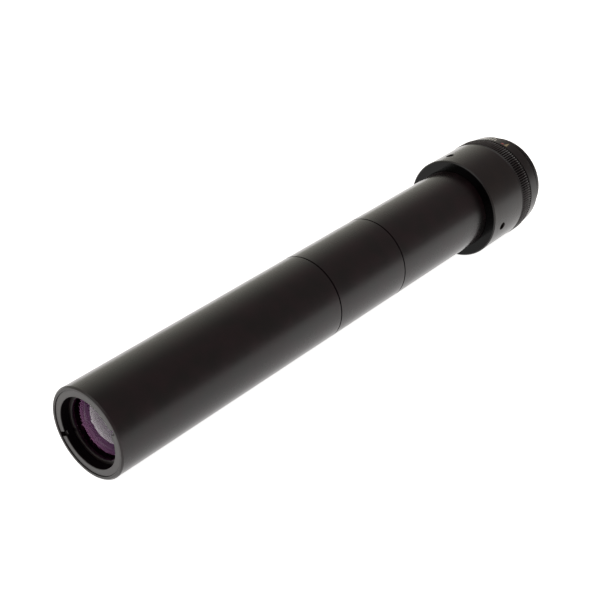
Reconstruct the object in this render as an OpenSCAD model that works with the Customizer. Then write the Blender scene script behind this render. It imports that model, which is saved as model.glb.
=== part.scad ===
// Long-tube 31.75 mm Barlow lens with a twist-lock eyepiece holder.
// The optical axis lies along X and +Z is up. The origin is on the axis, at the
// collar's front shoulder; the lens end points to -X and the eyepiece end to +X.
// Angles round the axis are measured from +Z toward +Y.

/* [Barrel] */
// Outer diameter of the whole tube, the standard eyepiece barrel size
barrel_d = 31.75; // [31.7:0.05:31.8]
// Length of the front tube, which holds the lens cell
front_tube_l = 101.1; // [90:0.1:120]
// Length of the middle spacer tube
spacer_tube_l = 36.2; // [25:0.1:50]
// Length of the rear tube from its joint to the collar's shoulder
rear_tube_l = 52.2; // [40:0.1:65]
// Clear bore through all three tubes
tube_bore_d = 28; // [27:0.1:28.4]
// Outer diameter of the screwed spigots that join the tubes
joint_d = 29.9; // [29.5:0.1:30.1]
// Length of each screwed spigot
joint_l = 4.5; // [3:0.1:6]

/* [Lens cell] */
// Outer diameter of the cell's threaded flange
cell_flange_d = 28.9; // [28.6:0.1:29.3]
// Opening in front of the lens
cell_mouth_d = 24.5; // [24.3:0.1:25]
// How far the cell's face sits below the tube's rim
cell_recess = 0.3; // [0.1:0.1:0.6]
// Depth from the cell's face to the lens lock ring
lock_ring_depth = 3.1; // [2.5:0.1:4]
// Thickness of the lens lock ring
lock_ring_l = 0.55; // [0.5:0.05:0.8]
// Opening of the lens lock ring
lock_ring_bore_d = 21.8; // [21.4:0.1:22.4]
// Width of the spanner slots
spanner_slot_w = 1.45; // [1:0.05:2]

/* [Lens] */
// Diameter of both lens elements
lens_d = 24; // [23.6:0.1:24]
// Radius of the front surface, which bulges forward
lens_front_r = 45; // [42:1:90]
// Radius of the cemented surface
lens_middle_r = 80; // [60:1:120]
// Radius of the rear surface, which is hollow
lens_rear_r = 30; // [28:1:60]
// Centre thickness of the front element
crown_l = 3; // [2.6:0.1:3.6]
// Centre thickness of the rear element
flint_l = 1.5; // [1.2:0.1:2.5]

/* [Eyepiece holder] */
// Outer diameter of the collar
collar_d = 40; // [38:0.1:42]
// Length of the collar
collar_l = 19.7; // [18:0.1:22]
// Bore that the eyepiece barrel slides into
socket_d = 31.85; // [31.8:0.01:31.9]
// Depth of the seat that the rear tube stands in
tube_seat_l = 8.5; // [8:0.1:10]
// Outer diameter of the neck that carries the twist lock
neck_d = 35.2; // [35:0.1:35.4]
// Length of the neck
neck_l = 9.3; // [9:0.1:10]
// Distance from the shoulder to the grub screws
grub_x = 6.4; // [5:0.1:7]
// Thread diameter of the grub screws
grub_d = 3; // [2.5:0.1:3]

/* [Twist lock] */
// Diameter over the knurl
knurl_d = 40.3; // [39.5:0.1:41]
// Number of knurl teeth
knurl_n = 126; // [90:1:140]
// Depth of the knurl
knurl_depth = 0.4; // [0.2:0.05:0.5]
// Length of the knurled band
knurl_l = 6; // [5:0.1:7]
// Length of the end ring
end_ring_l = 10.2; // [9.5:0.1:11]
// Angle that the twist lock turns through
lock_turn = 240; // [120:5:270]
// Number of slits in the clamping collet
slit_n = 8; // [4:1:12]

/* [Hidden] */
$fn = 96;

fit = 0.05;      // radial clearance of screwed and sliding fits
snug = 0.03;     // radial clearance of fixed pieces that are cemented or pressed in
seam = 0.02;     // gap between the faces of two tubes that are screwed home
edge = 0.2;      // chamfer on the edges of the tube joints
rim_edge = 0.5;  // chamfer on the tube's front rim and on the collar's edges
eps = 0.1;       // how far cutters run past the face that they cut

anodised = "#26231f";
anodised_matt = "#161514";
steel_black = "#1d1d1f";
coated_glass = "#6d4f8c";
brass = "#b58f45";
nylon = "#e8e4d8";

// Places along the axis
rear_joint_x = -rear_tube_l;
front_joint_x = rear_joint_x - spacer_tube_l;
nose_x = front_joint_x - front_tube_l;
cell_face_x = nose_x + cell_recess;
lock_ring_x = cell_face_x + lock_ring_depth;
neck_end_x = collar_l + neck_l;
lock_x = collar_l + 0.4;
knurl_end_x = lock_x + knurl_l;
end_ring_x = knurl_end_x + 0.4;
mouth_x = end_ring_x + end_ring_l;

// Radii
barrel_r = barrel_d / 2;
bore_r = tube_bore_d / 2;
joint_r = joint_d / 2;
socket_r = socket_d / 2;
neck_r = neck_d / 2;
collar_r = collar_d / 2;
knurl_r = knurl_d / 2;
lens_r = lens_d / 2;

// Lens cell
flange_r = cell_flange_d / 2;
flange_l = 5;
cell_back_lip = 2.2;
spanner_slot_depth = 1.1;
spanner_slot_a = [117.6, 297.9];

// How far a surface of radius r falls back at the distance h from the axis
function dip(r, h = lens_r) = r - sqrt(r * r - h * h);

// The lock ring's bore rests on the front surface, so its edge lies a little behind the ring
lens_x = lock_ring_x + lock_ring_l + seam + dip(lens_front_r)
    - dip(lens_front_r, lock_ring_bore_d / 2);
crown_front_x = lens_x - dip(lens_front_r);
cement_x = crown_front_x + crown_l;
flint_back_x = cement_x + flint_l;
lens_back_edge_x = flint_back_x + dip(lens_rear_r);
cell_back_x = lens_back_edge_x + cell_back_lip;

// Light stops
baffle_l = 2.5;
baffle_wall = 0.8;
front_stop_r = 11.2;
joint_stop_r = 11.4;
spacer_stop_r = 11.8;
rear_stop_r = 12.4;

// Collar and twist lock
neck_edge = 0.3;
tube_seat_r = 15.2;
shoulder_relief_r = barrel_r + 0.125;
seat_lip_l = 1.2;
seat_lip_r = 14.2;
grub_l = 3.9;
grub_gap = 0.03;
grub_hex = 1.5;
grub_hex_l = 1.3;
grub_a = [20.4, 140.4, 260.4];
taper_x = neck_end_x - 3.2;
taper_r0 = 16.55;
taper_r1 = 17.1;
collet_step_x = neck_end_x - 4;
collet_r = 15.98;
collet_flange_r = 17.4;
collet_slit_w = 0.8;
collet_slit_l = 3.7;
collet_x = taper_x + 0.1;
collet_end_x = neck_end_x + 2.5;
washer_l = 0.8;
end_flange_x = collet_end_x + washer_l;
lock_bore_r = neck_r + fit;
lock_spigot_r = 18.4;
lock_groove_r = 19.3;
knurl_edge = 0.3;
lock_end_x = neck_end_x + 2.2;
stop_x = collar_l + 1.9;
stop_r = 0.6;
stop_seat_r = 16.1;
stop_tip_r = 18.4;
stop_relief_r = 18.6;
stop_relief_l = 2.8;
stop_margin = 3;

// End ring
end_ring_r = 19.8;
end_corner_r = 19.1;
end_corner_x = end_ring_x + 5.8;
end_rim_r = 17.3;
end_rim_x = end_ring_x + 8.3;
mouth_r = 16.05;
mouth_edge = 0.5;

// Solid of revolution round the axis, from a list of [x, r] points
module turned(profile)
    rotate([0, 90, 0]) rotate_extrude() polygon([for (p = profile) [p[1], p[0]]]);

// Plain rod and plain ring along the axis
module rod(x0, x1, r) translate([x0, 0, 0]) rotate([0, 90, 0]) cylinder(h = x1 - x0, r = r);
module hoop(x0, x1, r_in, r_out) difference() {
    rod(x0, x1, r_out);
    rod(x0 - eps, x1 + eps, r_in);
}

// Turns children from +Z to the angle a round the axis
module at_angle(a) rotate([-a, 0, 0]) children();

// Part of a ring that spans the angles a0 to a1
module arc(x0, x1, r0, r1, a0, a1)
    rotate([0, 90, 0]) rotate([0, 0, 180 - a1]) rotate_extrude(angle = a1 - a0)
        translate([r0, x0]) square([r1 - r0, x1 - x0]);

// Slots across a ring's front face, for a spanner wrench
module spanner_slots(face_x, r0, r1, w, depth)
    for (a = spanner_slot_a) at_angle(a)
        translate([face_x - eps, -w / 2, r0]) cube([depth + eps, w, r1 - r0]);

// Outer shape of one tube, with a spigot in front where spigot is true
module tube_body(x0, x1, front_edge, rear_edge, spigot) {
    turned([[x0, 0], [x0, barrel_r - front_edge], [x0 + front_edge, barrel_r],
            [x1 - rear_edge, barrel_r], [x1, barrel_r - rear_edge], [x1, 0]]);
    if (spigot)
        turned([[x0 - joint_l, 0], [x0 - joint_l, joint_r - edge * 2],
                [x0 - joint_l + edge * 2, joint_r], [x0 + eps, joint_r], [x0 + eps, 0]]);
}

// Socket in a tube's rear end, for the next tube's spigot
module socket_cut(x) rod(x - joint_l - 0.3, x + eps, joint_r + fit);

module front_tube() color(anodised) difference() {
    tube_body(nose_x, front_joint_x - seam, rim_edge, edge, false);
    rod(nose_x - eps, front_joint_x, bore_r);
    rod(nose_x - eps, cell_face_x + flange_l, flange_r + fit);
    socket_cut(front_joint_x - seam);
}

module lens_cell() color(anodised) difference() {
    union() {
        turned([[cell_face_x, 0], [cell_face_x, flange_r - 0.1], [cell_face_x + 0.1, flange_r],
                [cell_face_x + flange_l, flange_r], [cell_face_x + flange_l, 0]]);
        rod(cell_face_x + flange_l - eps, cell_back_x, bore_r - snug);
    }
    rod(cell_face_x - eps, lens_x, cell_mouth_d / 2);
    rod(lens_x - eps, lens_back_edge_x, lens_r + snug);
    rod(lens_back_edge_x - eps, cell_back_x + eps, lens_r - 0.8);
    spanner_slots(cell_face_x, cell_mouth_d / 2 - 1, flange_r + 1, spanner_slot_w, spanner_slot_depth);
}

module lens_lock_ring() color(anodised) difference() {
    hoop(lock_ring_x, lock_ring_x + lock_ring_l, lock_ring_bore_d / 2, cell_mouth_d / 2 - snug);
    spanner_slots(lock_ring_x, lock_ring_bore_d / 2 - 1, cell_mouth_d / 2 + 1, 1, 0.3);
}

// Ball surface centred on the axis, as an outline to revolve
module ball_outline(x, r) translate([0, x]) circle(r, $fn = 720);

// Front element, which bulges forward and is hollow behind
module front_lens() color(coated_glass) rotate([0, 90, 0]) rotate_extrude() difference() {
    intersection() {
        translate([0, crown_front_x]) square([lens_r, cement_x + dip(lens_middle_r) - crown_front_x]);
        ball_outline(crown_front_x + lens_front_r, lens_front_r);
    }
    ball_outline(cement_x + lens_middle_r, lens_middle_r);
}

// Rear element, which fills the front element's rear hollow
module rear_lens() color(coated_glass) rotate([0, 90, 0]) rotate_extrude() difference() {
    intersection() {
        translate([0, cement_x]) square([lens_r, lens_back_edge_x - cement_x]);
        ball_outline(cement_x + seam + lens_middle_r, lens_middle_r);
    }
    ball_outline(flint_back_x + lens_rear_r, lens_rear_r);
}

// Knife-edged light stop, a dished washer with a rim that grips a tube's bore
module baffle(x, r) color(anodised_matt)
    turned([[x, r], [x, bore_r - snug], [x + baffle_l, bore_r - snug],
            [x + baffle_l, bore_r - baffle_wall], [x + baffle_wall, bore_r - baffle_wall],
            [x + baffle_wall / 3, r]]);

module front_tube_baffle() baffle(nose_x + 50, front_stop_r);
module joint_baffle() baffle(front_joint_x - 12, joint_stop_r);

module spacer_tube() color(anodised) difference() {
    tube_body(front_joint_x, rear_joint_x - seam, edge, edge, true);
    rod(front_joint_x - joint_l - eps, rear_joint_x, bore_r);
    socket_cut(rear_joint_x - seam);
}

module spacer_baffle() baffle(rear_joint_x - 12, spacer_stop_r);

// Rear tube, with a square step at the shoulder and a thinner end that sits in the collar
module rear_tube() color(anodised) difference() {
    union() {
        tube_body(rear_joint_x, 0, edge, edge, true);
        rod(-1, 0, barrel_r);
        rod(-1, tube_seat_l, tube_seat_r);
    }
    rod(rear_joint_x - joint_l - eps, tube_seat_l + eps, bore_r);
}

module rear_baffle() baffle(-18, rear_stop_r);

// Eyepiece holder: collar, neck, tube seat and eyepiece socket in one turned piece
module collar() color(anodised) difference() {
    turned([[0, 0], [0, collar_r - rim_edge], [rim_edge, collar_r],
            [collar_l - neck_edge, collar_r], [collar_l, collar_r - neck_edge],
            [collar_l, neck_r], [neck_end_x - neck_edge, neck_r],
            [neck_end_x, neck_r - neck_edge], [neck_end_x, 0]]);
    rod(-eps, tube_seat_l, tube_seat_r + fit);
    turned([[-eps, 0], [-eps, shoulder_relief_r], [0, shoulder_relief_r],
            [shoulder_relief_r - tube_seat_r, tube_seat_r], [shoulder_relief_r - tube_seat_r, 0]]);
    rod(tube_seat_l - eps, tube_seat_l + seat_lip_l + eps, seat_lip_r);
    rod(tube_seat_l + seat_lip_l, collet_step_x + eps, socket_r);
    turned([[collet_step_x, 0], [collet_step_x, taper_r0], [taper_x, taper_r0],
            [neck_end_x, taper_r1], [neck_end_x + eps, taper_r1], [neck_end_x + eps, 0]]);
    for (a = grub_a) at_angle(a)
        translate([grub_x, 0, tube_seat_r - 1]) cylinder(h = collar_r, r = grub_d / 2);
    translate([stop_x, 0, stop_seat_r]) cylinder(h = collar_r, r = stop_r + snug);
}

// Pin in the neck that limits the turn of the lock ring
module stop_pin() color(steel_black)
    translate([stop_x, 0, stop_seat_r]) cylinder(h = stop_tip_r - stop_seat_r, r = stop_r);

// Headless screw with a hexagon socket; its tip bears on the rear tube
module grub_screw(i) color(steel_black) at_angle(grub_a[i - 1])
    translate([grub_x, 0, tube_seat_r + grub_gap]) difference() {
        cylinder(h = grub_l, r = grub_d / 2 - fit);
        translate([0, 0, grub_l - grub_hex_l]) cylinder(h = grub_l, r = grub_hex / sqrt(3), $fn = 6);
    }

// Slit ring that closes on the eyepiece barrel when it is pushed into the taper
module clamping_collet() color(brass) difference() {
    turned([[collet_x, collet_r], [collet_x, taper_r0 - fit], [neck_end_x, taper_r1 - fit],
            [neck_end_x + neck_edge, collet_flange_r], [collet_end_x, collet_flange_r],
            [collet_end_x, collet_r]]);
    for (i = [0:slit_n - 1]) at_angle(i * 360 / slit_n)
        translate([collet_x - eps, -collet_slit_w / 2, 0])
            cube([collet_slit_l + eps, collet_slit_w, neck_r]);
}

module thrust_washer() color(nylon)
    hoop(collet_end_x, end_flange_x, mouth_r, collet_flange_r);

// Straight-knurled nut that screws onto the neck
module knurled_lock_ring() color(anodised) difference() {
    union() {
        translate([lock_x + knurl_edge, 0, 0]) rotate([0, 90, 0])
            linear_extrude(knurl_l - knurl_edge * 2)
                polygon([for (i = [0:knurl_n * 2 - 1])
                    let (r = knurl_r - (i % 2) * knurl_depth, a = i * 180 / knurl_n)
                    [r * cos(a), r * sin(a)]]);
        rod(lock_x, knurl_end_x, knurl_r - knurl_depth - knurl_edge / 2);
        rod(knurl_end_x - eps, end_ring_x, lock_groove_r);
        rod(end_ring_x - eps, lock_end_x, lock_spigot_r);
    }
    rod(lock_x - eps, lock_end_x + eps, lock_bore_r);
    arc(lock_x - eps, lock_x + stop_relief_l, neck_r - 1, stop_relief_r,
        -stop_margin, lock_turn + stop_margin);
}

// Tapered cap screwed onto the lock ring, with the eyepiece mouth in it
module end_ring() color(anodised) difference() {
    turned([[end_ring_x, 0], [end_ring_x, end_ring_r - edge], [end_ring_x + edge, end_ring_r],
            [end_corner_x, end_corner_r], [end_rim_x, end_rim_r],
            [mouth_x - edge, end_rim_r - edge], [mouth_x, end_rim_r - edge * 2], [mouth_x, 0]]);
    rod(end_ring_x - eps, lock_end_x, lock_spigot_r + fit);
    rod(lock_end_x - eps, end_flange_x, lock_bore_r);
    rod(end_flange_x - eps, mouth_x + eps, mouth_r);
    turned([[mouth_x - mouth_edge, 0], [mouth_x - mouth_edge, mouth_r],
            [mouth_x + eps, mouth_r + mouth_edge + eps], [mouth_x + eps, 0]]);
}

front_tube();
lens_cell();
lens_lock_ring();
front_lens();
rear_lens();
front_tube_baffle();
joint_baffle();
spacer_tube();
spacer_baffle();
rear_tube();
rear_baffle();
collar();
stop_pin();
grub_screw(1);  // grub_screw_1
grub_screw(2);  // grub_screw_2
grub_screw(3);  // grub_screw_3
clamping_collet();
thrust_washer();
knurled_lock_ring();
end_ring();
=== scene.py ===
"""Looks for a long-tube Barlow lens with a twist-lock eyepiece holder.

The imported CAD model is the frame. Every turned piece is rebuilt round the same axis with rounded
edges, real threads and a real knurl, and rides on the CAD body that holds its node.
Lengths below are millimetres unless a name ends in _m; meshes are made in metres.
"""
import math

import bmesh
import bpy
from mathutils import Matrix, Vector


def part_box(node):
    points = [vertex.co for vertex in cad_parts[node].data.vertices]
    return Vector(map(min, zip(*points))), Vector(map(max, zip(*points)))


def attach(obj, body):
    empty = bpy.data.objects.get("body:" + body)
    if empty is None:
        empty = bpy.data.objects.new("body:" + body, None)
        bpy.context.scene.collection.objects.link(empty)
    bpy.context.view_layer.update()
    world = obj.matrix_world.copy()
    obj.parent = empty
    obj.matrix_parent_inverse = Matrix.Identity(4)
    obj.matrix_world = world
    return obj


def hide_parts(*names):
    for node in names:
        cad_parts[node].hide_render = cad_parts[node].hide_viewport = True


MM = 0.001
TAU = math.tau

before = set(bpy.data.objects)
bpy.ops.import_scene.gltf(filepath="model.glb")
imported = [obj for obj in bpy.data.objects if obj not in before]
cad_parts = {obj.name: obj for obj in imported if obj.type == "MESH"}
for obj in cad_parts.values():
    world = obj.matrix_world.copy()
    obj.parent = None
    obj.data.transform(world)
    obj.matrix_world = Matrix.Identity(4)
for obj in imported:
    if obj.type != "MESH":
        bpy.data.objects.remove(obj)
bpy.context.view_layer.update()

# ---------------------------------------------------------------- sizes shared with the CAD
BARREL_R = 15.875
BORE_R = 14.0
JOINT_R = 14.95
SOCKET_R = 15.0
JOINT_PITCH = 0.75
JOINT_THREAD_DEPTH = 0.36
JOINT_EDGE = 0.22
JOINT_GAP = 0.12
FLANGE_R = 14.45
CELL_MOUTH_R = 12.25
LENS_SEAT_R = 12.03
LENS_R = 12.0
LENS_LIP = 0.8
LOCK_RING_BORE_R = 10.9
LENS_FRONT_R = 45.0
LENS_MIDDLE_R = 80.0
LENS_REAR_R = 30.0
CROWN_L = 3.0
GLASS_IOR = 1.52
COATING_IOR = 1.38
GLASS_COAT, EDGE_COAT, CEMENT_COAT = 0, 1, 2
# Material index of the collar's shoulder faces, which take a darker copy of the black as painted shade.
SHADED_SHOULDER_COAT = 2
# Material index of the knurl's groove bottoms, which take the flat black lining as painted shade.
SHADED_GROOVE_COAT = 1
CELL_FLANGE_L = 5.0
SPANNER_SLOT_W = 1.45
SPANNER_SLOT_DEPTH = 1.1
SPANNER_SLOT_ANGLES = (117.6, 297.9)
COLLAR_R = 20.0
COLLAR_L = 19.7
TUBE_SEAT_L = 8.5
TUBE_SEAT_R = 15.2
SEAT_LIP_L = 1.2
SEAT_LIP_R = 14.2
EYEPIECE_BORE_R = 15.925
NECK_R = 17.6
COLLET_STEP_BACK = 4.0
TAPER_BACK = 3.2
TAPER_R0 = 16.55
TAPER_R1 = 17.1
COLLET_R = 15.98
COLLET_FLANGE_R = 17.4
COLLET_SLITS = 8
COLLET_SLIT_W = 0.8
COLLET_SLIT_L = 3.7
WASHER_R = 16.05
LOCK_BORE_R = 17.65
LOCK_SPIGOT_R = 18.4
LOCK_GROOVE_R = 19.3
KNURL_R = 20.15
KNURL_DEPTH = 0.5
KNURL_TEETH = 126
KNURL_L = 6.0
END_RING_R = 19.8
END_CORNER_R = 19.1
END_CORNER_X = 5.8
EDGE_STEP_X = 5.35
END_RIM_R = 17.3
END_RIM_X = 8.3
MOUTH_R = 16.05
MOUTH_EDGE = 0.5
GRUB_X = 6.4
GRUB_R = 1.5
GRUB_ANGLES = (20.4, 140.4, 260.4)
GRUB_PITCH = 0.5
GRUB_SIDES = 48
GRUB_L = 3.9
GRUB_HEX_ACROSS = 1.5
GRUB_COUNTERSINK = 0.22
FRONT_STOP_R, JOINT_STOP_R, SPACER_STOP_R, REAR_STOP_R = 11.2, 11.4, 11.8, 12.4
STOP_RELIEF_R = 18.6
STOP_RELIEF_L = 2.8
STOP_MARGIN = 3.0
LOCK_TURN = 240.0
CLEARANCE = 0.05
BAFFLE_WALL = 0.8
SHARP_DEG = 32


def span(node):
    """First and last place of a CAD node along the axis, in millimetres."""
    low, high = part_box(node)
    return low[0] / MM, high[0] / MM


# ---------------------------------------------------------------- outlines
class Point:
    """One corner of a turned outline, at x along the axis and r from it.

    fillet rounds the corner. wear says how much the edge may shine through. wave names a ripple
    that the radius follows round the axis: (kind, depth, pitch or count). coat picks the piece's
    material for a face whose corners share it.
    """

    def __init__(self, x, r, fillet=0.0, wear=0.0, wave=None, coat=0):
        self.x, self.r, self.fillet, self.wear = x, r, fillet, wear
        self.wave, self.coat = wave, coat


def rounded(corners):
    """The closed outline with each filleted corner replaced by an arc."""
    outline = []
    count = len(corners)
    for i, c in enumerate(corners):
        before, after = corners[i - 1], corners[(i + 1) % count]
        if c.fillet <= 0.0:
            outline.append(c)
            continue
        here = Vector((c.x, c.r))
        to_before = Vector((before.x, before.r)) - here
        to_after = Vector((after.x, after.r)) - here
        room = 0.45 * min(to_before.length, to_after.length)
        to_before.normalize()
        to_after.normalize()
        corner_angle = math.acos(max(-1.0, min(1.0, to_before.dot(to_after))))
        if corner_angle > math.radians(176):
            outline.append(c)
            continue
        reach = min(c.fillet / math.tan(corner_angle / 2), room)
        radius = reach * math.tan(corner_angle / 2)
        centre = here + (to_before + to_after).normalized() * radius / math.sin(corner_angle / 2)
        start = here + to_before * reach - centre
        end = here + to_after * reach - centre
        turn = start.angle_signed(end)
        steps = max(2, math.ceil(abs(turn) / math.radians(15)))
        guard = min(0.06, room - reach)
        if guard > 0.005:
            far = here + to_before * (reach + guard)
            outline.append(Point(far.x, far.y, coat=c.coat))
        for k in range(steps + 1):
            arm = start.copy()
            arm.rotate(Matrix.Rotation(-turn * k / steps, 2))
            spot = centre + arm
            outline.append(Point(spot.x, spot.y, wear=c.wear, coat=c.coat))
        if guard > 0.005:
            far = here + to_after * (reach + guard)
            outline.append(Point(far.x, far.y, coat=c.coat))
    return outline


def thread(x0, x1, r, pitch, depth, coat=0, steps=8):
    """Corners along a screw thread from x0 to x1; depth is negative where the ridges point inward."""
    length = abs(x1 - x0)
    count = max(4, round(length / pitch * steps))
    way = 1 if x1 > x0 else -1
    corners = []
    for i in range(count + 1):
        along = length * i / count
        fade = min(1.0, along / pitch, (length - along) / pitch)
        corners.append(Point(x0 + way * along, r, wave=("thread", depth * max(fade, 0.0), pitch), coat=coat))
    return corners


def triangle(u):
    """Triangle wave that falls from 1 to 0 and rises again as u goes through one turn."""
    return abs(2.0 * (u - math.floor(u)) - 1.0)


def waved(point, angle):
    """Radius of an outline point at an angle round the axis."""
    if point.wave is None:
        return point.r
    kind, depth, size = point.wave
    if kind == "thread":
        ridge = triangle(point.x / size - angle / TAU)
        return point.r - depth * min(1.0, max(0.0, 1.2 * ridge - 0.1))
    tooth = triangle(size * angle / TAU)
    return point.r - depth * min(1.0, max(0.0, 1.35 * tooth - 0.25))


def in_groove(point, angle):
    """True at the bottom of a knurl's groove."""
    return bool(point.wave) and point.wave[0] == "knurl" and point.r - waved(point, angle) > 0.6 * KNURL_DEPTH


# ---------------------------------------------------------------- meshes
def place(angle, x, r):
    """Point at an angle from +Z toward +Y, in metres."""
    return Vector((x, r * math.sin(angle), r * math.cos(angle))) * MM


def new_object(name, bm):
    """Object from a bmesh, shaded smooth with sharp edges kept."""
    mesh = bpy.data.meshes.new(name)
    bm.to_mesh(mesh)
    bm.free()
    for polygon in mesh.polygons:
        polygon.use_smooth = True
    mesh.set_sharp_from_angle(angle=math.radians(SHARP_DEG))
    piece = bpy.data.objects.new(name, mesh)
    bpy.context.scene.collection.objects.link(piece)
    return piece


def rings_of(bm, outline, segments):
    """One ring of points round the axis for each corner of the outline, with its wear stored on them."""
    wear = bm.verts.layers.float.new("wear")
    rings = []
    for p in outline:
        ring = []
        for j in range(segments):
            angle = TAU * j / segments
            vert = bm.verts.new(place(angle, p.x, waved(p, angle)))
            vert[wear] = p.wear
            ring.append(vert)
        rings.append(ring)
    return rings


def turned_mesh(outline, segments):
    """Ring-shaped bmesh from a closed outline."""
    bm = bmesh.new()
    rings = rings_of(bm, outline, segments)
    for i, ring in enumerate(rings):
        following = rings[(i + 1) % len(rings)]
        coat = outline[i].coat if outline[i].coat == outline[(i + 1) % len(rings)].coat else 0
        for j in range(segments):
            k = (j + 1) % segments
            face = bm.faces.new((ring[j], ring[k], following[k], following[j]))
            # The bottoms of a knurl's grooves take the flat black lining: painted shade in the grooves.
            face.material_index = SHADED_GROOVE_COAT if in_groove(outline[i], (j + 0.5) * TAU / segments) else coat
    bmesh.ops.recalc_face_normals(bm, faces=bm.faces)
    return bm


def turned(name, corners, segments=256):
    """Turned piece from its outline's corners."""
    return new_object(name, turned_mesh(rounded(corners), segments))


def solid_of_sections(name, sections):
    """Closed cutter through a list of equal loops of points."""
    bm = bmesh.new()
    loops = [[bm.verts.new(p) for p in section] for section in sections]
    count = len(loops[0])
    for low, high in zip(loops, loops[1:]):
        for j in range(count):
            k = (j + 1) % count
            bm.faces.new((low[j], low[k], high[k], high[j]))
    bm.faces.new(loops[0])
    bm.faces.new(loops[-1])
    bmesh.ops.recalc_face_normals(bm, faces=bm.faces)
    return new_object(name, bm)


def radial_frame(angle_deg):
    """Axes of a place round the tube: outward, round, and along the axis."""
    a = math.radians(angle_deg)
    outward = Vector((0, math.sin(a), math.cos(a)))
    along = Vector((1, 0, 0))
    return outward, along.cross(outward), along


def drill(angle_deg, x, radius, r0, mouth_r, flare):
    """Cutter for a radial hole from r0 out to mouth_r, where a countersink opens it."""
    outward, across, along = radial_frame(angle_deg)
    stations = [(r0, radius), (mouth_r - flare, radius), (mouth_r + 1.0, radius + flare + 1.0)]
    sections = []
    for r, size in stations:
        section = []
        for j in range(GRUB_SIDES):
            t = TAU * j / GRUB_SIDES
            spot = Vector((x, 0, 0)) + outward * r + along * size * math.cos(t) + across * size * math.sin(t)
            section.append(spot * MM)
        sections.append(section)
    return solid_of_sections("cutter", sections)


def slot_cutter(angle_deg, x0, x1, width, r0, r1, flare=0.12):
    """Cutter for a slot in a face at x0 that runs back to x1, with its mouth eased open."""
    outward, across, along = radial_frame(angle_deg)
    way = 1 if x1 > x0 else -1
    half = width / 2
    stations = [(x0 - way * 1.0, half + flare + 1.0), (x0 + way * flare, half), (x1, half)]
    sections = []
    for x, size in stations:
        base = Vector((x, 0, 0))
        sections.append([(base + outward * r + across * s) * MM
                         for r, s in ((r0, -size), (r1, -size), (r1, size), (r0, size))])
    return solid_of_sections("cutter", sections)


def arc_cutter(x0, x1, r0, r1, start_deg, end_deg, step_deg=3.0):
    """Cutter for a groove that runs part of the way round the axis."""
    count = math.ceil((end_deg - start_deg) / step_deg)
    sections = []
    for k in range(count + 1):
        angle = math.radians(start_deg + (end_deg - start_deg) * k / count)
        sections.append([place(angle, x, r) for x, r in ((x0, r0), (x1, r0), (x1, r1), (x0, r1))])
    return solid_of_sections("cutter", sections)


def cut(piece, cutters):
    """Takes the cutters out of the piece and deletes them."""
    for cutter in cutters:
        step = piece.modifiers.new("cut", "BOOLEAN")
        step.operation = "DIFFERENCE"
        step.solver = "EXACT"
        step.object = cutter
    graph = bpy.context.evaluated_depsgraph_get()
    mesh = bpy.data.meshes.new_from_object(piece.evaluated_get(graph))
    piece.modifiers.clear()
    old = piece.data
    piece.data = mesh
    bpy.data.meshes.remove(old)
    mesh.name = piece.name
    for polygon in mesh.polygons:
        polygon.use_smooth = True
    mesh.set_sharp_from_angle(angle=math.radians(SHARP_DEG))
    for cutter in cutters:
        bpy.data.objects.remove(cutter)
    return piece


# ---------------------------------------------------------------- materials
class Nodes:
    """Small helper that builds a shader tree."""

    def __init__(self, name):
        self.material = bpy.data.materials.new(name)
        self.material.use_nodes = True
        self.tree = self.material.node_tree
        self.tree.nodes.clear()
        self.shader = self.add("ShaderNodeBsdfPrincipled")
        output = self.add("ShaderNodeOutputMaterial")
        self.link(self.shader.outputs["BSDF"], output.inputs["Surface"])

    def add(self, kind, **settings):
        node = self.tree.nodes.new(kind)
        for key, value in settings.items():
            setattr(node, key, value)
        return node

    def link(self, output, target):
        self.tree.links.new(output, target)

    def set(self, **values):
        for key, value in values.items():
            self.shader.inputs[key.replace("_", " ")].default_value = value

    def maths(self, operation, a, b=None, clamp=False):
        node = self.add("ShaderNodeMath", operation=operation, use_clamp=clamp)
        for socket, value in zip(node.inputs, (a, b)):
            if value is None:
                continue
            if isinstance(value, (int, float)):
                socket.default_value = value
            else:
                self.link(value, socket)
        return node.outputs[0]

    def noise(self, vector, scale, detail=2.0, roughness=0.5):
        node = self.add("ShaderNodeTexNoise")
        node.inputs["Scale"].default_value = scale
        node.inputs["Detail"].default_value = detail
        node.inputs["Roughness"].default_value = roughness
        self.link(vector, node.inputs["Vector"])
        return node.outputs["Fac"]

    def spread(self, value, low, high, in_low=0.0, in_high=1.0):
        node = self.add("ShaderNodeMapRange", clamp=True)
        for key, number in (("From Min", in_low), ("From Max", in_high), ("To Min", low), ("To Max", high)):
            node.inputs[key].default_value = number
        self.link(value, node.inputs["Value"])
        return node.outputs["Result"]

    def mix_colour(self, factor, a, b):
        node = self.add("ShaderNodeMix", data_type="RGBA")
        self.link(factor, node.inputs["Factor"])
        for socket, value in ((node.inputs[6], a), (node.inputs[7], b)):
            if isinstance(value, tuple):
                socket.default_value = (*value, 1.0)
            else:
                self.link(value, socket)
        return node.outputs[2]

    def place(self):
        return self.add("ShaderNodeTexCoord").outputs["Object"]

    def turned_place(self):
        """(distance along the axis, distance from the axis, 0): equal all round a turned piece."""
        split = self.add("ShaderNodeSeparateXYZ")
        self.link(self.place(), split.inputs[0])
        squares = self.maths("ADD", self.maths("MULTIPLY", split.outputs[1], split.outputs[1]),
                             self.maths("MULTIPLY", split.outputs[2], split.outputs[2]))
        joined = self.add("ShaderNodeCombineXYZ")
        self.link(split.outputs[0], joined.inputs[0])
        self.link(self.maths("SQRT", squares), joined.inputs[1])
        return joined.outputs[0]

    def bump(self, height, distance, strength=1.0, base=None):
        node = self.add("ShaderNodeBump")
        node.inputs["Strength"].default_value = strength
        node.inputs["Distance"].default_value = distance
        self.link(height, node.inputs["Height"])
        if base is not None:
            self.link(base, node.inputs["Normal"])
        return node.outputs["Normal"]


# At a glancing view the roughness falls to this share, between these two values of the facing weight.
GLANCE_SHARE = 0.5
GLANCE_FROM = 0.35
GLANCE_TO = 0.8


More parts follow.
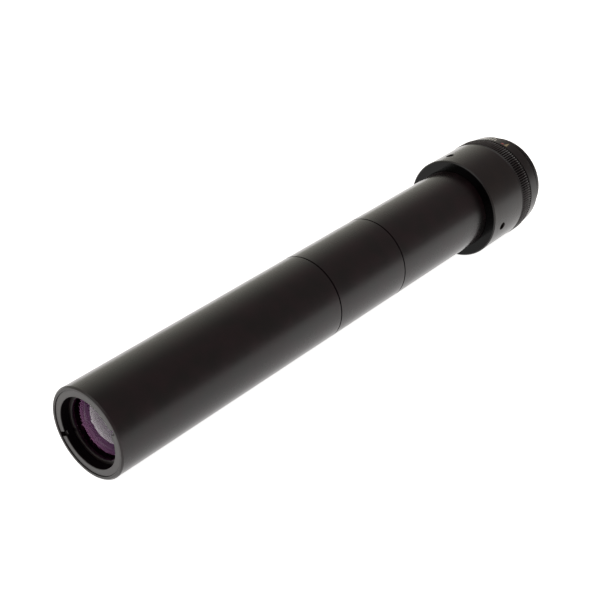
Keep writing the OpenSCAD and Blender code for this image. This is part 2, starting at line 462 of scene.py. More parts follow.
def anodised(name, colour, warm, roughness, cut_marks, grain, ior=1.5):
    """Black anodised aluminium: turning marks, a pitted grain, cloudy dye and thin worn edges.

    It is dull where it is seen squarely and glossier at a glancing view.
    """
    m = Nodes(name)
    spot = m.place()
    rings = m.turned_place()
    clouds = m.noise(spot, 150.0, 3.0)
    fine_rings = m.noise(rings, 5200.0, 2.0, 0.65)
    broad_rings = m.noise(rings, 700.0, 1.0)
    pits = m.noise(spot, 9000.0, 1.0)
    worn = m.add("ShaderNodeAttribute", attribute_name="wear").outputs["Fac"]
    patches = m.spread(m.noise(spot, 900.0, 3.0, 0.7), 0.0, 1.0, 0.42, 0.62)
    wear = m.maths("MULTIPLY", worn, patches, clamp=True)
    tone = m.mix_colour(m.spread(clouds, 0.0, 1.0, 0.35, 0.65), colour, warm)
    m.link(m.mix_colour(wear, tone, (0.16, 0.155, 0.15)), m.shader.inputs["Base Color"])
    m.link(m.spread(wear, 0.0, 0.7), m.shader.inputs["Metallic"])
    glance = m.add("ShaderNodeLayerWeight").outputs["Facing"]
    gloss = m.spread(glance, roughness, roughness * GLANCE_SHARE, GLANCE_FROM, GLANCE_TO)
    sheen = m.maths("ADD", m.spread(clouds, -0.025, 0.025, 0.3, 0.7),
                    m.spread(broad_rings, -0.02, 0.02, 0.3, 0.7))
    m.link(m.maths("ADD", sheen, gloss), m.shader.inputs["Roughness"])
    marks = m.bump(fine_rings, cut_marks)
    m.link(m.bump(pits, grain, base=marks), m.shader.inputs["Normal"])
    m.set(IOR=ior)
    return m.material


def lining(name, colour, roughness):
    """Flat black paint inside the tubes: soft grain and faint tool rings."""
    m = Nodes(name)
    spot = m.place()
    grain = m.noise(spot, 6000.0, 3.0, 0.7)
    rings = m.noise(m.turned_place(), 1500.0, 1.0)
    m.link(m.mix_colour(m.spread(grain, 0.0, 1.0, 0.3, 0.7), tuple(c * 0.6 for c in colour), colour),
           m.shader.inputs["Base Color"])
    m.link(m.spread(rings, roughness - 0.06, roughness + 0.06), m.shader.inputs["Roughness"])
    m.link(m.bump(grain, 2e-5), m.shader.inputs["Normal"])
    m.set(IOR=1.15, Specular_IOR_Level=0.1)
    return m.material


def coated_glass(name, tint, reflection, film_nm):
    """Polished lens with a coating a fraction of a wavelength thick, and a faint haze."""
    m = Nodes(name)
    spot = m.place()
    haze = m.spread(m.noise(spot, 160.0, 3.0), 0.0, 0.015, 0.35, 0.75)
    m.link(haze, m.shader.inputs["Roughness"])
    m.link(m.mix_colour(m.noise(spot, 60.0, 1.0), tint, tuple(c * 0.97 for c in tint)),
           m.shader.inputs["Base Color"])
    m.set(Transmission_Weight=1.0, IOR=GLASS_IOR, Specular_Tint=(*reflection, 1.0))
    m.set(Thin_Film_Thickness=film_nm, Thin_Film_IOR=COATING_IOR)
    return m.material


def clear_cement(name):
    """Cement between the two elements: it joins their glass, so light goes straight through."""
    m = Nodes(name)
    bloom = m.noise(m.place(), 400.0, 3.0)
    m.link(m.mix_colour(bloom, (0.9, 0.9, 0.85), (0.8, 0.8, 0.75)), m.shader.inputs["Base Color"])
    m.link(m.spread(bloom, 0.0, 0.003, 0.5, 0.8), m.shader.inputs["Alpha"])
    return m.material


def turned_metal(name, colour, dark, roughness, metallic=1.0):
    """Bare turned metal with tool rings and slight tarnish."""
    m = Nodes(name)
    spot = m.place()
    rings = m.noise(m.turned_place(), 4200.0, 3.0, 0.7)
    tarnish = m.spread(m.noise(spot, 260.0, 4.0, 0.6), 0.0, 1.0, 0.4, 0.75)
    m.link(m.mix_colour(tarnish, colour, dark), m.shader.inputs["Base Color"])
    m.link(m.spread(rings, roughness - 0.07, roughness + 0.1, 0.3, 0.7), m.shader.inputs["Roughness"])
    m.link(m.bump(rings, 6e-6), m.shader.inputs["Normal"])
    m.set(Metallic=metallic)
    return m.material


def plastic(name, colour, roughness):
    """Natural nylon: waxy, slightly uneven."""
    m = Nodes(name)
    spot = m.place()
    cloud = m.noise(spot, 300.0, 3.0)
    m.link(m.mix_colour(cloud, colour, tuple(c * 0.9 for c in colour)), m.shader.inputs["Base Color"])
    m.link(m.spread(cloud, roughness - 0.08, roughness + 0.08, 0.3, 0.7), m.shader.inputs["Roughness"])
    m.link(m.bump(m.noise(spot, 5000.0), 8e-6), m.shader.inputs["Normal"])
    m.set(IOR=1.53, Subsurface_Weight=0.15, Subsurface_Scale=0.001)
    return m.material


def paint(name, colour):
    """Paint that fills an engraved mark: slightly rough and chipped."""
    m = Nodes(name)
    spot = m.place()
    chips = m.spread(m.noise(spot, 4200.0, 3.0, 0.7), 0.0, 1.0, 0.62, 0.7)
    m.link(m.mix_colour(chips, colour, tuple(c * 0.25 for c in colour)), m.shader.inputs["Base Color"])
    m.link(m.spread(chips, 0.45, 0.6), m.shader.inputs["Roughness"])
    m.link(m.bump(m.noise(spot, 7000.0), 1e-5), m.shader.inputs["Normal"])
    return m.material


DEEP_BLACK = (0.0030, 0.0022, 0.0020)
tube_black = anodised("tube_black", (0.0024, 0.0019, 0.0018), (0.0072, 0.0024, 0.0034), 0.34, 1.2e-6, 2.5e-6,
                      ior=1.41)
collar_black = anodised("collar_black", DEEP_BLACK, (0.0065, 0.0040, 0.0028), 0.36, 1.5e-6, 2e-6, ior=1.41)
# Painted shade: a much darker, less reflective copy of the anodised black for the collar's shoulder faces,
# standing in for the tube's dark reflection and shadow on them.
shoulder_painted_shade = anodised("shoulder_painted_shade", (0.0003, 0.0003, 0.0004), (0.0005, 0.0004, 0.0004), 0.14, 0.8e-6,
                          1e-6, ior=1.27)
ring_black = anodised("ring_black", DEEP_BLACK, (0.0060, 0.0040, 0.0030), 0.42, 1.5e-6, 3e-6, ior=1.28)
cell_black = anodised("cell_black", DEEP_BLACK, (0.0065, 0.0030, 0.0035), 0.46, 1.2e-6, 2.5e-6, ior=1.56)
knurl_black = anodised("knurl_black", (0.002, 0.0015, 0.0015), (0.004, 0.002, 0.002), 0.30, 1.5e-6, 3e-6,
                       ior=1.50)
# matt_black also stands as painted shade: on the knurl's groove bottoms, at the knurled band's edges and in
# its groove, and on the chamfers at the tube joints.
matt_black = lining("matt_black", (0.0040, 0.0024, 0.0034), 0.75)
bore_black = lining("bore_black", (0.018, 0.016, 0.016), 0.6)
edge_black = lining("edge_black", (0.030, 0.003, 0.018), 0.8)
steel_black = turned_metal("steel_black", (0.045, 0.045, 0.048), (0.02, 0.02, 0.02), 0.38, metallic=0.85)
brass = turned_metal("brass", (0.72, 0.53, 0.26), (0.42, 0.29, 0.13), 0.26)
nylon = plastic("nylon", (0.80, 0.77, 0.68), 0.45)
crown_glass = coated_glass("crown_glass", (0.97, 0.93, 0.97), (0.84, 0.38, 0.74), 128.0)
flint_glass = coated_glass("flint_glass", (0.97, 0.97, 0.98), (0.80, 0.90, 0.75), 0.0)
cement_clear = clear_cement("cement_clear")
white_paint = paint("white_paint", (0.80, 0.79, 0.72))
gold_paint = paint("gold_paint", (0.32, 0.27, 0.15))
red_paint = paint("red_paint", (0.34, 0.07, 0.06))


def finish_piece(piece, node, body, slot, *materials):
    """Gives a piece its materials and lets it stand for its CAD node."""
    for material in materials:
        piece.data.materials.append(material)
    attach(piece, body)
    if node:
        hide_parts(node)
    return piece


# ---------------------------------------------------------------- the three tubes
def joint_socket(face_x, depth=4.8, back_r=BORE_R):
    """Corners of a threaded socket that opens at face_x, from its mouth inward."""
    return [
        Point(face_x, SOCKET_R + 0.25, 0.03, coat=1),
        Point(face_x - 0.25, SOCKET_R, coat=1),
        *thread(face_x - 0.35, face_x - depth + 0.5, SOCKET_R + JOINT_THREAD_DEPTH, JOINT_PITCH,
                JOINT_THREAD_DEPTH, coat=1),
        Point(face_x - depth, SOCKET_R, 0.05, coat=1),
        Point(face_x - depth, back_r, 0.05, coat=1),
    ]


def joint_spigot(face_x, tip_x):
    """Corners of a threaded spigot from its root at face_x to its tip, then its bore's edge."""
    return [
        Point(face_x, JOINT_R - 0.1, 0.05, coat=1),
        *thread(face_x - 0.45, tip_x + 0.3, JOINT_R, JOINT_PITCH, JOINT_THREAD_DEPTH),
        Point(tip_x + 0.28, JOINT_R - JOINT_THREAD_DEPTH),
        Point(tip_x, JOINT_R - 0.5, 0.05),
        Point(tip_x, BORE_R + 0.15, 0.05, coat=1),
        Point(tip_x + 0.15, BORE_R, 0.03, coat=1),
    ]


def glare_threads(x0, x1, r, pitch=1.0, depth=0.22):
    """Fine ridges that stop light from glancing off a tube's bore."""
    return thread(x0, x1, r + depth, pitch, depth, coat=1, steps=3)


def make_front_tube():
    x0, x1 = span("front_tube")
    seat_x = x0 + 0.3 + CELL_FLANGE_L
    corners = [
        Point(x0, BARREL_R - 0.5, 0.10, wear=0.15),
        Point(x0 + 0.5, BARREL_R, 0.25, wear=0.1),
        Point(x1 - JOINT_EDGE, BARREL_R, 0.08),
        Point(x1, BARREL_R - JOINT_EDGE, 0.05, coat=1),
        *joint_socket(x1),
        *glare_threads(x1 - 5.6, seat_x + 11.0, BORE_R),
        Point(seat_x, BORE_R, 0.05, coat=1),
        Point(seat_x, FLANGE_R + CLEARANCE, 0.05, coat=1),
        Point(x0 + 0.12, FLANGE_R + CLEARANCE),
        Point(x0, FLANGE_R + CLEARANCE + 0.12, 0.04, wear=0.05),
    ]
    piece = turned("front_tube_shell", corners)
    finish_piece(piece, "front_tube", "lens_section", "anodised", tube_black, matt_black)


def make_spacer_tube():
    tip, x1 = span("spacer_tube")
    x0 = span("front_tube")[1] + JOINT_GAP
    corners = [
        # The front chamfer takes the flat black lining (material 1): painted shade that darkens the seam at
        # the joint.
        Point(x0, BARREL_R - JOINT_EDGE, 0.05, coat=1),
        Point(x0 + JOINT_EDGE, BARREL_R, coat=1),
        Point(x0 + JOINT_EDGE + 0.02, BARREL_R),
        Point(x1 - JOINT_EDGE, BARREL_R, 0.08),
        Point(x1, BARREL_R - JOINT_EDGE, 0.05, coat=1),
        *joint_socket(x1),
        *glare_threads(x1 - 5.6, tip + 0.8, BORE_R),
        *reversed(joint_spigot(x0, tip)),
    ]
    piece = turned("spacer_tube_shell", corners)
    finish_piece(piece, "spacer_tube", "spacer", "anodised", tube_black, matt_black)


def make_rear_tube():
    tip, end = span("rear_tube")
    x0 = span("spacer_tube")[1] + JOINT_GAP
    corners = [
        # The front chamfer takes the flat black lining (material 1): painted shade that darkens the seam at
        # the joint.
        Point(x0, BARREL_R - JOINT_EDGE, 0.05, coat=1),
        Point(x0 + JOINT_EDGE, BARREL_R, coat=1),
        Point(x0 + JOINT_EDGE + 0.02, BARREL_R),
        Point(0.0, BARREL_R, 0.03),
        Point(0.0, TUBE_SEAT_R, 0.05),
        Point(end, TUBE_SEAT_R, 0.1),
        Point(end, BORE_R + 0.15, 0.05, coat=1),
        Point(end - 0.15, BORE_R, 0.03, coat=1),
        *glare_threads(end - 0.6, tip + 0.8, BORE_R),
        *reversed(joint_spigot(x0, tip)),
    ]
    piece = turned("rear_tube_shell", corners)
    finish_piece(piece, "rear_tube", "holder", "anodised", tube_black, matt_black)


# ---------------------------------------------------------------- lens cell and lenses
def make_lens_cell():
    x0, x1 = span("lens_cell")
    lens_x = span("front_lens")[0] + dip(LENS_FRONT_R, LENS_R)
    back_x = span("rear_lens")[1]
    flange_x = x0 + CELL_FLANGE_L
    corners = [
        Point(x0, FLANGE_R - 0.1, 0.05, wear=0.1),
        Point(x0 + 0.1, FLANGE_R, 0.03),
        *thread(x0 + 0.5, flange_x - 0.4, FLANGE_R, 0.5, 0.25),
        Point(flange_x, FLANGE_R - 0.25, 0.05),
        Point(flange_x, BORE_R - 0.03, 0.05),
        Point(x1, BORE_R - 0.03, 0.2),
        Point(x1, LENS_R - LENS_LIP, 0.2, coat=1),
        Point(back_x, LENS_R - LENS_LIP, 0.05, coat=1),
        Point(back_x, LENS_SEAT_R, coat=1),
        Point(lens_x, LENS_SEAT_R, 0.03, coat=1),
        Point(lens_x, CELL_MOUTH_R, coat=1),
        *reversed(thread(x0 + 0.5, lens_x - 0.1, CELL_MOUTH_R + 0.18, 0.5, 0.18, coat=1)),
        Point(x0 + 0.3, CELL_MOUTH_R, coat=1),
        Point(x0 + 0.12, CELL_MOUTH_R),
        Point(x0, CELL_MOUTH_R + 0.12, 0.05, wear=0.1),
    ]
    piece = turned("lens_cell_ring", corners)
    cut(piece, [slot_cutter(a, x0, x0 + SPANNER_SLOT_DEPTH, SPANNER_SLOT_W, CELL_MOUTH_R - 1, FLANGE_R + 1)
                for a in SPANNER_SLOT_ANGLES])
    finish_piece(piece, "lens_cell", "lens_section", "anodised", cell_black, matt_black)


def make_lens_lock_ring():
    x0, x1 = span("lens_lock_ring")
    outer = CELL_MOUTH_R - 0.03
    corners = [
        Point(x0, outer - 0.12, 0.04),
        Point(x0 + 0.12, outer),
        *thread(x0 + 0.2, x1 - 0.2, outer, 0.5, 0.15),
        Point(x1, outer - 0.12, 0.04),
        Point(x1, LOCK_RING_BORE_R, 0.05),
        Point(x0 + 0.1, LOCK_RING_BORE_R, 0.05),
        Point(x0, LOCK_RING_BORE_R + 0.1, 0.05),
    ]
    piece = turned("lens_lock_ring_threaded", corners)
    cut(piece, [slot_cutter(a, x0, x0 + 0.3, 1.0, LOCK_RING_BORE_R - 1, CELL_MOUTH_R + 1, 0.08)
                for a in SPANNER_SLOT_ANGLES])
    finish_piece(piece, "lens_lock_ring", "lens_section", "anodised", cell_black)


def dip(curve_r, r):
    """How far a spherical surface of radius curve_r falls back at the distance r from its middle."""
    return curve_r - math.sqrt(curve_r * curve_r - r * r)


def lens_mesh(name, front, back, glued, edge_r=LENS_R, segments=160, steps=14, bevel=0.12):
    """Lens between two surfaces, each a function from the radius to a place along the axis.

    glued is 0 where the front surface is the cemented one, and 1 where the back one is.
    """
    radii = [(edge_r - bevel) * math.sin(math.pi / 2 * i / steps) for i in range(steps + 1)]
    outline = [(front(r), r) for r in radii]
    outline += [(front(edge_r - bevel) + bevel, edge_r), (back(edge_r - bevel) - bevel, edge_r)]
    outline += [(back(r), r) for r in reversed(radii)]
    coats = (CEMENT_COAT, GLASS_COAT) if glued == 0 else (GLASS_COAT, CEMENT_COAT)
    bm = bmesh.new()
    first = bm.verts.new(place(0, outline[0][0], 0))
    last = bm.verts.new(place(0, outline[-1][0], 0))
    rings = [[bm.verts.new(place(TAU * j / segments, x, r)) for j in range(segments)]
             for x, r in outline[1:-1]]
    for j in range(segments):
        k = (j + 1) % segments
        bm.faces.new((first, rings[0][k], rings[0][j])).material_index = coats[0]
        bm.faces.new((last, rings[-1][j], rings[-1][k])).material_index = coats[1]
        for i, (low, high) in enumerate(zip(rings, rings[1:]), start=1):
            face = bm.faces.new((low[j], low[k], high[k], high[j]))
            on_edge = steps <= i <= steps + 2
            face.material_index = EDGE_COAT if on_edge else coats[0 if i < steps else 1]
    bmesh.ops.recalc_face_normals(bm, faces=bm.faces)
    return new_object(name, bm)


def make_lenses():
    crown_front = span("front_lens")[0]
    cement = crown_front + CROWN_L
    flint_back = span("rear_lens")[1] - dip(LENS_REAR_R, LENS_R)
    crown = lens_mesh("front_lens_crown", lambda r: crown_front + dip(LENS_FRONT_R, r),
                      lambda r: cement + dip(LENS_MIDDLE_R, r), 1)
    flint = lens_mesh("rear_lens_flint", lambda r: cement + 0.02 + dip(LENS_MIDDLE_R, r),
                      lambda r: flint_back + dip(LENS_REAR_R, r), 0)
    finish_piece(crown, "front_lens", "lens_section", "coated_glass", crown_glass, edge_black, cement_clear)
    finish_piece(flint, "rear_lens", "lens_section", "coated_glass", flint_glass, edge_black, cement_clear)


# ---------------------------------------------------------------- baffles
def make_baffle(node, body, stop_r):
    x0, x1 = span(node)
    corners = [
        Point(x0, BORE_R - 0.03, 0.15),
        Point(x1, BORE_R - 0.03, 0.1),
        Point(x1, BORE_R - BAFFLE_WALL, 0.1),
        Point(x0 + BAFFLE_WALL, BORE_R - BAFFLE_WALL, 0.2),
        Point(x0 + BAFFLE_WALL / 3, stop_r, 0.04),
        Point(x0, stop_r, 0.04),
    ]
    piece = turned(node + "_ring", corners, 160)
    finish_piece(piece, node, body, "matt_black", matt_black)


# ---------------------------------------------------------------- eyepiece holder
def make_collar():
    _, x1 = span("collar")
    step_x = x1 - COLLET_STEP_BACK
    taper_x = x1 - TAPER_BACK
    lip_x = TUBE_SEAT_L + SEAT_LIP_L
    # The shoulder faces at both ends of the collar take the painted-shade copy of the black (material 2).
    corners = [
        Point(0.0, COLLAR_R - 0.5, 0.12, coat=SHADED_SHOULDER_COAT),
        Point(0.5, COLLAR_R, 0.2, wear=0.03),
        Point(COLLAR_L - 0.16, COLLAR_R, 0.05),
        Point(COLLAR_L, COLLAR_R - 0.16, 0.04, coat=SHADED_SHOULDER_COAT),
        Point(COLLAR_L, NECK_R - 0.35, 0.1, coat=SHADED_SHOULDER_COAT),
        Point(COLLAR_L + 2.9, NECK_R - 0.35, 0.05),
        *thread(COLLAR_L + 3.0, x1 - 0.4, NECK_R, JOINT_PITCH, JOINT_THREAD_DEPTH),
        Point(x1, NECK_R - 0.3, 0.05),
        Point(x1, TAPER_R1, 0.04, coat=1),
        Point(taper_x, TAPER_R0, coat=1),
        Point(step_x, TAPER_R0, coat=1),
        Point(step_x, EYEPIECE_BORE_R + 0.2, coat=1),
        Point(step_x - 0.2, EYEPIECE_BORE_R, coat=1),
        Point(lip_x, EYEPIECE_BORE_R, 0.1, coat=1),
        Point(lip_x, SEAT_LIP_R, 0.1, coat=1),
        Point(TUBE_SEAT_L, SEAT_LIP_R, 0.05, coat=1),
        Point(TUBE_SEAT_L, TUBE_SEAT_R + CLEARANCE, 0.05, coat=1),
        Point(0.8, TUBE_SEAT_R + CLEARANCE, coat=1),
        Point(0.0, BARREL_R + 0.125, 0.04, coat=SHADED_SHOULDER_COAT),
    ]
    piece = turned("collar_body", corners)
    holes = [drill(a, GRUB_X, GRUB_R, TUBE_SEAT_R - 1, COLLAR_R, GRUB_COUNTERSINK) for a in GRUB_ANGLES]
    cut(piece, holes)
    finish_piece(piece, "collar", "holder", "anodised", collar_black, bore_black, shoulder_painted_shade)


def make_grub_screw(index, angle_deg):
    """Headless screw: a real thread, chamfered ends and a hexagon socket."""
    tip_r, head_r = TUBE_SEAT_R + 0.03, TUBE_SEAT_R + 0.03 + GRUB_L
    radius = GRUB_R - CLEARANCE
    outline = rounded([
        Point(tip_r, radius - 0.45, 0.08),
        Point(tip_r + 0.35, radius - 0.2),
        *thread(tip_r + 0.4, head_r - 0.3, radius, GRUB_PITCH, 0.24),
        Point(head_r, radius - 0.3, 0.05, wear=0.1),
    ])
    bm = bmesh.new()
    rings = rings_of(bm, outline, GRUB_SIDES)
    for low, high in zip(rings, rings[1:]):
        for j in range(GRUB_SIDES):
            k = (j + 1) % GRUB_SIDES
            bm.faces.new((low[j], low[k], high[k], high[j]))
    bm.faces.new(rings[0])
    bm.faces.new(rings[-1])
    bmesh.ops.recalc_face_normals(bm, faces=bm.faces)
    piece = new_object(f"grub_screw_{index}_threaded", bm)
    socket_r = GRUB_HEX_ACROSS / math.sqrt(3)
    stations = [(head_r + 1.0, socket_r + 1.0), (head_r - 0.1, socket_r), (head_r - 1.3, socket_r)]
    sections = [[Vector((x, r * math.cos(TAU * k / 6), r * math.sin(TAU * k / 6))) * MM for k in range(6)]
                for x, r in stations]
    cut(piece, [solid_of_sections("cutter", sections)])
    outward, across, along = radial_frame(angle_deg)
    turn = Matrix((
        (outward.x, across.x, along.x, GRUB_X * MM),
        (outward.y, across.y, along.y, 0),
        (outward.z, across.z, along.z, 0),
        (0, 0, 0, 1),
    ))
    piece.data.transform(turn)
    finish_piece(piece, f"grub_screw_{index}", f"grub_{index}", "black_steel", steel_black)


# ---------------------------------------------------------------- twist lock
def make_collet():
    x0, x1 = span("clamping_collet")
    neck_x = span("collar")[1]
    corners = [
        Point(x0, COLLET_R + 0.1, 0.05),
        Point(x0, TAPER_R0 - 0.05, 0.1),
        Point(neck_x, TAPER_R1 - 0.05),
        Point(neck_x + 0.3, COLLET_FLANGE_R, 0.08),
        Point(x1, COLLET_FLANGE_R, 0.12),
        Point(x1, COLLET_R + 0.25, 0.06),
        Point(x1 - 0.25, COLLET_R, 0.04),
        Point(x0 + 0.1, COLLET_R),
    ]
    piece = turned("clamping_collet_ring", corners)
    slits = [slot_cutter(i * 360 / COLLET_SLITS, x0, x0 + COLLET_SLIT_L, COLLET_SLIT_W, 10.0, NECK_R, 0.05)
             for i in range(COLLET_SLITS)]
    cut(piece, slits)
    finish_piece(piece, "clamping_collet", "clamp", "brass", brass)


def make_washer():
    x0, x1 = span("thrust_washer")
    corners = [
        Point(x0, WASHER_R, 0.12),
        Point(x0, COLLET_FLANGE_R, 0.12),
        Point(x1, COLLET_FLANGE_R, 0.12),
        Point(x1, WASHER_R, 0.12),
    ]
    piece = turned("thrust_washer_ring", corners, 192)
    finish_piece(piece, "thrust_washer", "clamp", "nylon", nylon)


def make_lock_ring():
    x0, x1 = span("knurled_lock_ring")
    ring_x = span("end_ring")[0]
    knurl_end = x0 + KNURL_L

    def tooth(x, r, depth):
        return Point(x, r, wear=0.06 if depth else 0.0, wave=("knurl", depth, KNURL_TEETH))

    rim = KNURL_R - KNURL_DEPTH - 0.15
    # The chamfers at both ends of the knurled band, its front face and the groove before the end ring take
    # the flat black lining (material 1): painted shade in the hollows and at the edges.
    corners = [
        Point(x0, rim - 0.25, 0.05, coat=1),
        Point(x0 + 0.05, rim - 0.1, coat=1),
        tooth(x0 + 0.22, rim + 0.02, 0.0),
        tooth(x0 + 0.5, KNURL_R - 0.12, KNURL_DEPTH * 0.6),
        tooth(x0 + 0.75, KNURL_R, KNURL_DEPTH),
        tooth(knurl_end - 0.75, KNURL_R, KNURL_DEPTH),
        tooth(knurl_end - 0.5, KNURL_R - 0.12, KNURL_DEPTH * 0.6),
        tooth(knurl_end - 0.22, rim + 0.02, 0.0),
        Point(knurl_end - 0.05, rim - 0.1, coat=1),
        Point(knurl_end, rim - 0.25, 0.05, coat=1),
        Point(knurl_end, LOCK_GROOVE_R, 0.05, coat=1),
        Point(ring_x, LOCK_GROOVE_R, 0.03, coat=1),
        Point(ring_x, LOCK_SPIGOT_R - 0.05, 0.03),
        Point(x1, LOCK_SPIGOT_R - 0.05, 0.1),
        Point(x1, LOCK_BORE_R, 0.05, coat=1),
        Point(x0 + STOP_RELIEF_L + 0.2, LOCK_BORE_R, coat=1),
        Point(x0, LOCK_BORE_R, 0.05, coat=1),
    ]
    piece = turned("lock_ring_knurled", corners, KNURL_TEETH * 8)
    cut(piece, [arc_cutter(x0 - 1, x0 + STOP_RELIEF_L, LOCK_BORE_R - 1, STOP_RELIEF_R,
                           -STOP_MARGIN, LOCK_TURN + STOP_MARGIN)])
    finish_piece(piece, "knurled_lock_ring", "twist_lock", "anodised", knurl_black, matt_black)


def make_end_ring():
    x0, x1 = span("end_ring")
    lock_end = span("knurled_lock_ring")[1]
    flange_x = span("thrust_washer")[1]
    corners = [
        Point(x0, END_RING_R - 0.2, 0.05),
        Point(x0 + 0.2, END_RING_R, 0.12, wear=0.06),
        Point(x0 + EDGE_STEP_X, taper_radius(x0 + EDGE_STEP_X, x0), 0.03),
        Point(x0 + EDGE_STEP_X + 0.05, END_CORNER_R - 0.08, coat=1),
        Point(x0 + END_CORNER_X, END_CORNER_R - 0.12, 0.1, coat=1),
        Point(x0 + END_CORNER_X + 0.9, END_CORNER_R - 0.65, coat=1),
        Point(x0 + END_RIM_X, END_RIM_R, 0.15, coat=1),
        Point(x1 - 0.2, END_RIM_R - 0.2, 0.1),
        Point(x1, END_RIM_R - 0.4, 0.06, wear=0.1),
        Point(x1, MOUTH_R + MOUTH_EDGE, 0.06, wear=0.1),
        Point(x1 - MOUTH_EDGE, MOUTH_R, 0.06, coat=1),
        Point(flange_x, MOUTH_R, 0.06, coat=1),
        Point(flange_x, LOCK_BORE_R, 0.05, coat=1),
        Point(lock_end, LOCK_BORE_R, coat=1),
        Point(lock_end, LOCK_SPIGOT_R + CLEARANCE, coat=1),
        Point(x0, LOCK_SPIGOT_R + CLEARANCE, 0.05, coat=1),
    ]
    piece = turned("end_ring_taper", corners)
    finish_piece(piece, "end_ring", "twist_lock", "anodised", ring_black, matt_black)


def taper_radius(x, x0):
    """Radius of the end ring's long taper."""
    share = (x - x0 - 0.2) / (END_CORNER_X - 0.2)
    return END_RING_R + (END_CORNER_R - END_RING_R) * share


def taper_mark(name, shapes, material):
    """Painted marks on the end ring's taper. Each shape is a loop of (place along the taper, angle)."""
    x0, _ = span("end_ring")
    bm = bmesh.new()
    for loop in shapes:
        top, low = [], []
        for along, angle_deg in loop:
            x = x0 + along
            r = taper_radius(x, x0)
            top.append(bm.verts.new(place(math.radians(angle_deg), x, r + 0.015)))
            low.append(bm.verts.new(place(math.radians(angle_deg), x, r - 0.08)))
        bm.faces.new(top)
        bm.faces.new(low)
        for j in range(len(loop)):
            k = (j + 1) % len(loop)
            bm.faces.new((top[j], top[k], low[k], low[j]))
    bmesh.ops.recalc_face_normals(bm, faces=bm.faces)
    piece = new_object(name, bm)
    finish_piece(piece, None, "twist_lock", "mark_paint", material)


def bar(x0, x1, angle, half_width):
    """Loop of a straight mark along the axis."""
    return [(x0, angle - half_width), (x1, angle - half_width),
            (x1, angle + half_width), (x0, angle + half_width)]


def dot(x, angle, radius):
    """Loop of a round mark; a degree round the ring is about a third of a millimetre."""
    per_degree = math.radians(1) * END_RING_R
    return [(x + radius * math.cos(TAU * k / 20), angle + radius * math.sin(TAU * k / 20) / per_degree)
            for k in range(20)]


def make_index_marks():
    ticks = [bar(1.3, 4.4 if i == 0 else 3.2, 5.0 + i * 3.6, 0.5) for i in range(-1, 4)]
    taper_mark("index_ticks", ticks, white_paint)
    taper_mark("index_dot", [dot(1.6, -9.5, 0.62)], red_paint)
    taper_mark("index_arrow", [[(1.0, -12.0), (4.6, -14.2), (1.0, -16.4)]], gold_paint)


make_front_tube()
make_spacer_tube()
make_rear_tube()
make_lens_cell()
make_lens_lock_ring()
make_lenses()
make_baffle("front_tube_baffle", "lens_section", FRONT_STOP_R)
make_baffle("joint_baffle", "lens_section", JOINT_STOP_R)
make_baffle("spacer_baffle", "spacer", SPACER_STOP_R)
make_baffle("rear_baffle", "holder", REAR_STOP_R)
make_collar()
for number, grub_angle in enumerate(GRUB_ANGLES, start=1):
    make_grub_screw(number, grub_angle)
make_collet()
make_washer()
make_lock_ring()
make_end_ring()
make_index_marks()
stop_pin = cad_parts["stop_pin"]
stop_pin.data.materials.clear()
stop_pin.data.materials.append(steel_black)

# ---------------------------------------------------------------- stage
scene = bpy.context.scene
scene.view_settings.view_transform = "Standard"
scene.view_settings.look = "None"

NOSE_X_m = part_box("front_tube")[0][0]
KNURL_LOW_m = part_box("knurled_lock_ring")[0]
FLOOR_SIZE_m = 12.0
FLOOR_GLOW = 1.0
KEY_POWER = 0.7
DIM_WALL = (0.355, 0.30, 0.295)
BRIGHT_WALL = (0.98, 0.97, 0.86)
BRIGHT_SIDE = (0.0, 1.0, 0.0)
BRIGHT_FROM = 0.1
BRIGHT_TO = 0.85

# The tube is thinner than the collar, so the floor leans a little to touch both.
lean = math.atan2(KNURL_R * MM - BARREL_R * MM, KNURL_LOW_m[0] - NOSE_X_m)
bm = bmesh.new()
bmesh.ops.create_grid(bm, x_segments=4, y_segments=4, size=FLOOR_SIZE_m / 2)
floor = new_object("floor", bm)
floor.rotation_euler = (0, lean, 0)
floor.location = (KNURL_LOW_m[0], 0, KNURL_LOW_m[2] - 0.00005)

# A pale table lit softly from underneath, so that the object throws almost no shadow.
table = Nodes("table_white")
table.link(table.mix_colour(table.noise(table.place(), 3.0), (0.80, 0.80, 0.79), (0.78, 0.78, 0.77)),
           table.shader.inputs["Base Color"])
table.set(Roughness=0.95, Emission_Color=(1.0, 1.0, 0.995, 1.0), Emission_Strength=FLOOR_GLOW, IOR=1.2)
floor.data.materials.append(table.material)

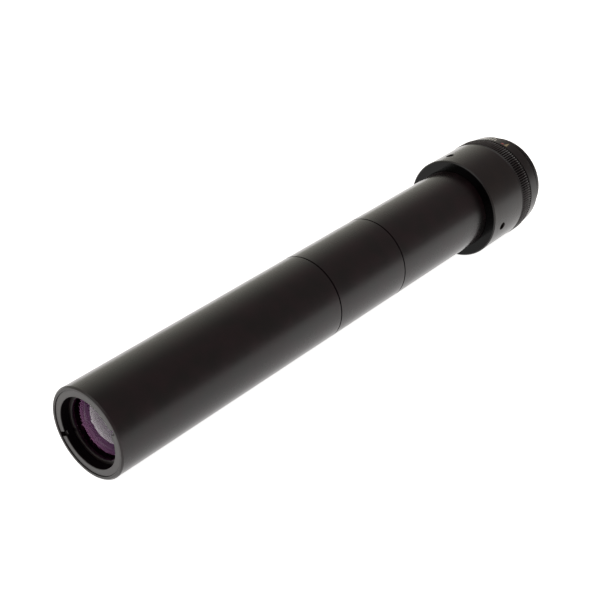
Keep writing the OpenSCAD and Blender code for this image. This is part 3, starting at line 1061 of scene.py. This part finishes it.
# The room: dim behind the camera and to its right, brighter behind the object.
world = bpy.data.worlds.new("studio")
scene.world = world
world.use_nodes = True
tree = world.node_tree
tree.nodes.clear()
coord = tree.nodes.new("ShaderNodeTexCoord")
toward = tree.nodes.new("ShaderNodeVectorMath")
toward.operation = "DOT_PRODUCT"
toward.inputs[1].default_value = Vector(BRIGHT_SIDE).normalized()
tree.links.new(coord.outputs["Generated"], toward.inputs[0])
ramp = tree.nodes.new("ShaderNodeMapRange")
ramp.interpolation_type = "SMOOTHSTEP"
ramp.inputs["From Min"].default_value = BRIGHT_FROM
ramp.inputs["From Max"].default_value = BRIGHT_TO
tree.links.new(toward.outputs["Value"], ramp.inputs["Value"])
mix = tree.nodes.new("ShaderNodeMix")
mix.data_type = "RGBA"
mix.inputs[6].default_value = (*DIM_WALL, 1)
mix.inputs[7].default_value = (*BRIGHT_WALL, 1)
tree.links.new(ramp.outputs["Result"], mix.inputs["Factor"])
background = tree.nodes.new("ShaderNodeBackground")
tree.links.new(mix.outputs[2], background.inputs["Color"])
output = tree.nodes.new("ShaderNodeOutputWorld")
tree.links.new(background.outputs[0], output.inputs["Surface"])


def sun(name, energy, spread_deg, direction):
    """Broad soft light from a direction, with no fall-off."""
    light = bpy.data.lights.new(name, "SUN")
    light.energy = energy
    light.angle = math.radians(spread_deg)
    lamp = bpy.data.objects.new(name, light)
    lamp.rotation_euler = Vector(direction).to_track_quat("Z", "Y").to_euler()
    scene.collection.objects.link(lamp)


sun("key", KEY_POWER, 60, (-0.75, 0.15, 1.0))

# ---------------------------------------------------------------- camera
CAMERA_AT_m = Vector((-0.37097, -0.24179, 0.23319))
CAMERA_WAY = Vector((0.63976, 0.55444, -0.53224))
SENSOR_MM = 36
FOCAL_MM = 75.1
camera_data = bpy.data.cameras.new("camera")
camera_data.sensor_width = SENSOR_MM
camera_data.lens = FOCAL_MM
camera_data.clip_start = 0.01
camera = bpy.data.objects.new("camera", camera_data)
camera.location = CAMERA_AT_m
camera.rotation_euler = CAMERA_WAY.to_track_quat("-Z", "Y").to_euler()
scene.collection.objects.link(camera)
scene.camera = camera
